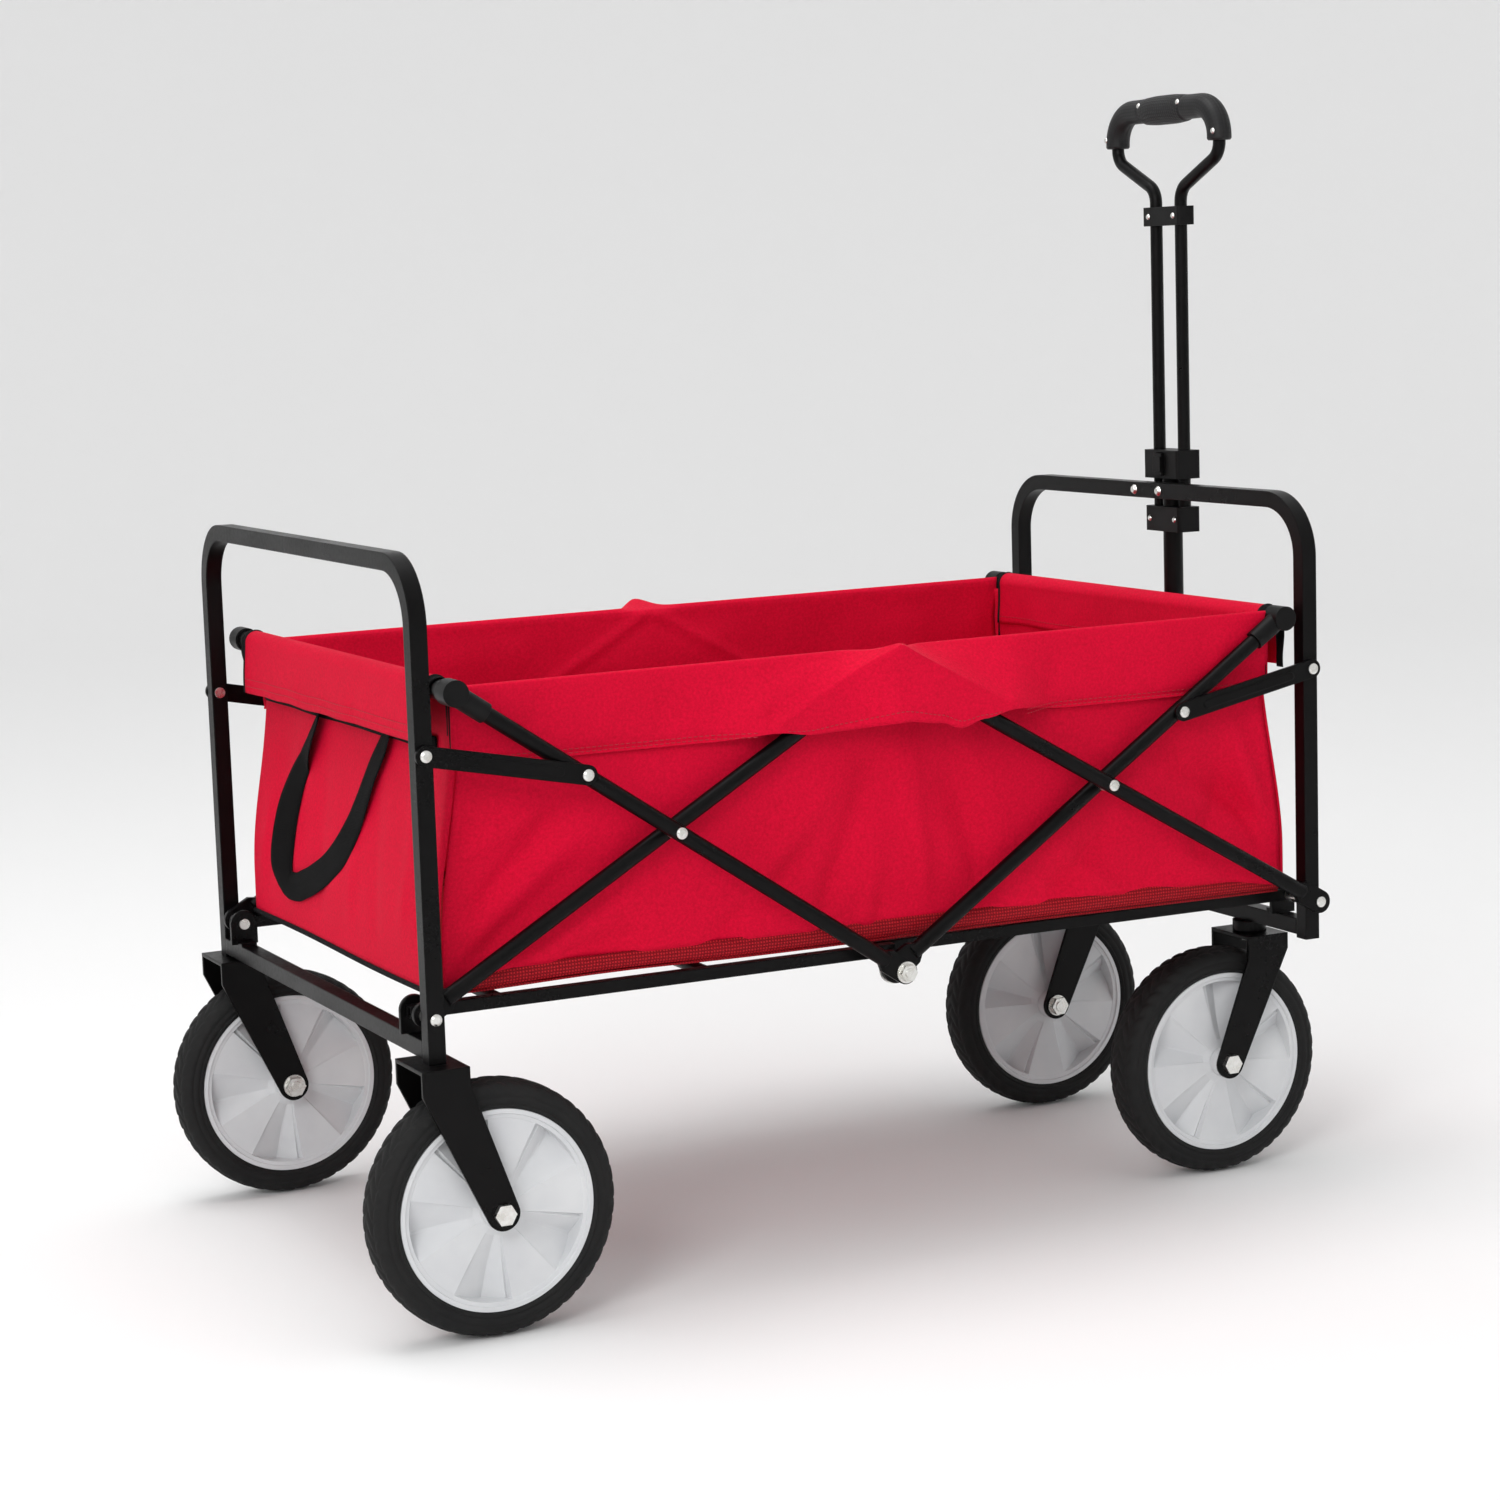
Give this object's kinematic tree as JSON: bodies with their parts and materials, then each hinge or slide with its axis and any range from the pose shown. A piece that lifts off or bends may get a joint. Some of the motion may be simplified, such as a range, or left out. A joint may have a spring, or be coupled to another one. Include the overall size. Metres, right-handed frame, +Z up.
{
  "type": "folding camp wagon",
  "caption": "Folding camp wagon with a scissor frame, red fabric tub, fixed rear wheels, swivel front casters and a telescoping pull handle.",
  "frame": {"origin": "centre of the overall box at floor level", "axes": "+X forward to the pull handle, +Y left, +Z up"},
  "size_m": [0.944, 0.5688, 0.961],
  "materials": {
    "frame_black": "semi-gloss black powder coat",
    "zinc": "bright zinc plate",
    "plastic_black": "moulded satin black",
    "grip": "textured soft-touch black",
    "rim": "moulded light grey, satin",
    "tyre": "matt black foam-filled tyre",
    "tub_fabric": "red woven polyester",
    "webbing": "black webbing"
  },
  "bodies": {
    "rear_end": {"rear_push_frame": "frame_black", "rear_crossbar": "frame_black", "rear_fork_left": "frame_black", "rear_fork_right": "frame_black", "rear_axle_bolts": "zinc", "rear_foot_bolts": "zinc", "rear_post_rivets": "zinc"},
    "rear_wheel_left": {"tyre_rear_left": "tyre", "rim_rear_left": "rim"},
    "rear_wheel_right": {"tyre_rear_right": "tyre", "rim_rear_right": "rim"},
    "rear_lower_bars": {"rear_lower_bar_left": "frame_black", "rear_lower_bar_right": "frame_black", "rear_cross_rivets": "zinc"},
    "front_lower_bars": {"front_lower_bar_left": "frame_black", "front_lower_bar_right": "frame_black", "front_bar_rivets": "zinc"},
    "rear_upper_bars": {"rear_upper_bar_left": "frame_black", "rear_upper_bar_right": "frame_black", "rear_upper_crossbar": "frame_black", "rear_connectors": "plastic_black", "centre_bolts": "zinc"},
    "front_upper_bars": {"front_upper_bar_left": "frame_black", "front_upper_bar_right": "frame_black", "front_upper_crossbar": "frame_black", "front_connectors": "plastic_black"},
    "rear_link_pair": {"rear_links": "frame_black", "rear_link_rivets": "zinc"},
    "front_link_pair": {"front_links": "frame_black", "front_link_rivets": "zinc"},
    "rear_rails": {"rear_floor_rails": "frame_black"},
    "front_rails": {"front_floor_rails": "frame_black"},
    "front_end": {"front_frame": "frame_black", "front_crossbar": "frame_black", "front_foot_bolts": "zinc", "front_frame_rivets": "zinc", "caster_kingpins": "zinc", "handle_clip": "plastic_black", "handle_bracket": "frame_black", "handle_pivot_bolt": "zinc"},
    "caster_left": {"front_fork_left": "frame_black", "front_axle_bolt_left": "zinc"},
    "caster_right": {"front_fork_right": "frame_black", "front_axle_bolt_right": "zinc"},
    "front_wheel_left": {"tyre_front_left": "tyre", "rim_front_left": "rim"},
    "front_wheel_right": {"tyre_front_right": "tyre", "rim_front_right": "rim"},
    "handle_mast": {"handle_centre_tube": "frame_black", "handle_guide_block": "plastic_black"},
    "latch_button": {"handle_button": "plastic_black"},
    "handle_slider": {"handle_loop_tube": "frame_black", "handle_slide_block": "plastic_black", "handle_clamp": "plastic_black", "handle_grip_back": "grip", "handle_grip_front": "grip", "handle_screws": "zinc"},
    "tub": {"tub_panels": "tub_fabric", "tub_floor": "tub_fabric", "carry_strap": "webbing"}
  },
  "joints": [
    {"name": "fold", "type": "hinge", "parent": "rear_end", "child": "rear_lower_bars", "pos_m": [-0.412, 0, 0.256], "axis": [0, -1, 0], "range_deg": [0, 49.88], "deforming": ["tub_panels", "tub_floor", "carry_strap"]},
    {"name": "peak_fold", "type": "hinge", "parent": "rear_lower_bars", "child": "front_lower_bars", "pos_m": [0, 0, 0.49504], "axis": [0, 1, 0], "range_deg": [0, 99.76]},
    {"name": "front_foot_fold", "type": "hinge", "parent": "front_lower_bars", "child": "front_end", "pos_m": [0.412, 0, 0.256], "axis": [0, -1, 0], "range_deg": [0, 49.88]},
    {"name": "rear_cross_fold", "type": "hinge", "parent": "rear_lower_bars", "child": "rear_upper_bars", "pos_m": [-0.2, 0, 0.379], "axis": [0, 1, 0], "range_deg": [0, 96.11]},
    {"name": "front_cross_fold", "type": "hinge", "parent": "front_lower_bars", "child": "front_upper_bars", "pos_m": [0.2, 0, 0.379], "axis": [0, -1, 0], "range_deg": [0, 96.11]},
    {"name": "rear_link_fold", "type": "hinge", "parent": "rear_end", "child": "rear_link_pair", "pos_m": [-0.412, 0, 0.4595], "axis": [0, -1, 0], "range_deg": [0, 89.95]},
    {"name": "front_link_fold", "type": "hinge", "parent": "front_end", "child": "front_link_pair", "pos_m": [0.412, 0, 0.4595], "axis": [0, 1, 0], "range_deg": [0, 89.95]},
    {"name": "rear_rail_fold", "type": "hinge", "parent": "rear_end", "child": "rear_rails", "pos_m": [-0.412, 0, 0.256], "axis": [0, -1, 0], "range_deg": [0, 78.42]},
    {"name": "front_rail_fold", "type": "hinge", "parent": "front_end", "child": "front_rails", "pos_m": [0.412, 0, 0.256], "axis": [0, 1, 0], "range_deg": [0, 78.42]},
    {"name": "tub_lift", "type": "slide", "parent": "rear_end", "child": "tub", "axis": [0, 0, 1], "range_m": [0, 0.2132]},
    {"name": "rear_left_spin", "type": "hinge", "parent": "rear_end", "child": "rear_wheel_left", "pos_m": [-0.3704, 0.25, 0.1016], "axis": [0, 1, 0], "continuous": true},
    {"name": "rear_right_spin", "type": "hinge", "parent": "rear_end", "child": "rear_wheel_right", "pos_m": [-0.3704, -0.25, 0.1016], "axis": [0, 1, 0], "continuous": true},
    {"name": "left_swivel", "type": "hinge", "parent": "front_end", "child": "caster_left", "pos_m": [0.412, 0.148, 0.214], "axis": [0, 0, 1], "continuous": true},
    {"name": "right_swivel", "type": "hinge", "parent": "front_end", "child": "caster_right", "pos_m": [0.412, -0.148, 0.214], "axis": [0, 0, 1], "continuous": true},
    {"name": "front_left_spin", "type": "hinge", "parent": "caster_left", "child": "front_wheel_left", "pos_m": [0.3704, 0.148, 0.1016], "axis": [0, 1, 0], "continuous": true},
    {"name": "front_right_spin", "type": "hinge", "parent": "caster_right", "child": "front_wheel_right", "pos_m": [0.3704, -0.148, 0.1016], "axis": [0, 1, 0], "continuous": true},
    {"name": "handle_tilt", "type": "hinge", "parent": "front_end", "child": "handle_mast", "pos_m": [0.434, 0, 0.231], "axis": [0, 1, 0], "range_deg": [0, 90]},
    {"name": "handle_slide", "type": "slide", "parent": "handle_mast", "child": "handle_slider", "axis": [0, 0, -1], "range_m": [0, 0.204]},
    {"name": "button_press", "type": "slide", "parent": "handle_mast", "child": "latch_button", "axis": [1, 0, 0], "range_m": [0, 0.003], "stiffness_N_per_m": 400, "springref_m": -0.001}
  ],
  "couplings": [
    {"joint": "peak_fold", "follows": "fold", "ratio": 2},
    {"joint": "front_foot_fold", "follows": "fold", "ratio": 1},
    {"joint": "rear_cross_fold", "follows": "fold", "ratio": 1.9268},
    {"joint": "front_cross_fold", "follows": "fold", "ratio": 1.9268},
    {"joint": "rear_link_fold", "follows": "fold", "ratio": 1.8034},
    {"joint": "front_link_fold", "follows": "fold", "ratio": 1.8034},
    {"joint": "rear_rail_fold", "follows": "fold", "ratio": 1.5722},
    {"joint": "front_rail_fold", "follows": "fold", "ratio": 1.5722},
    {"joint": "tub_lift", "follows": "fold", "m_per_rad": 0.24489}
  ]
}
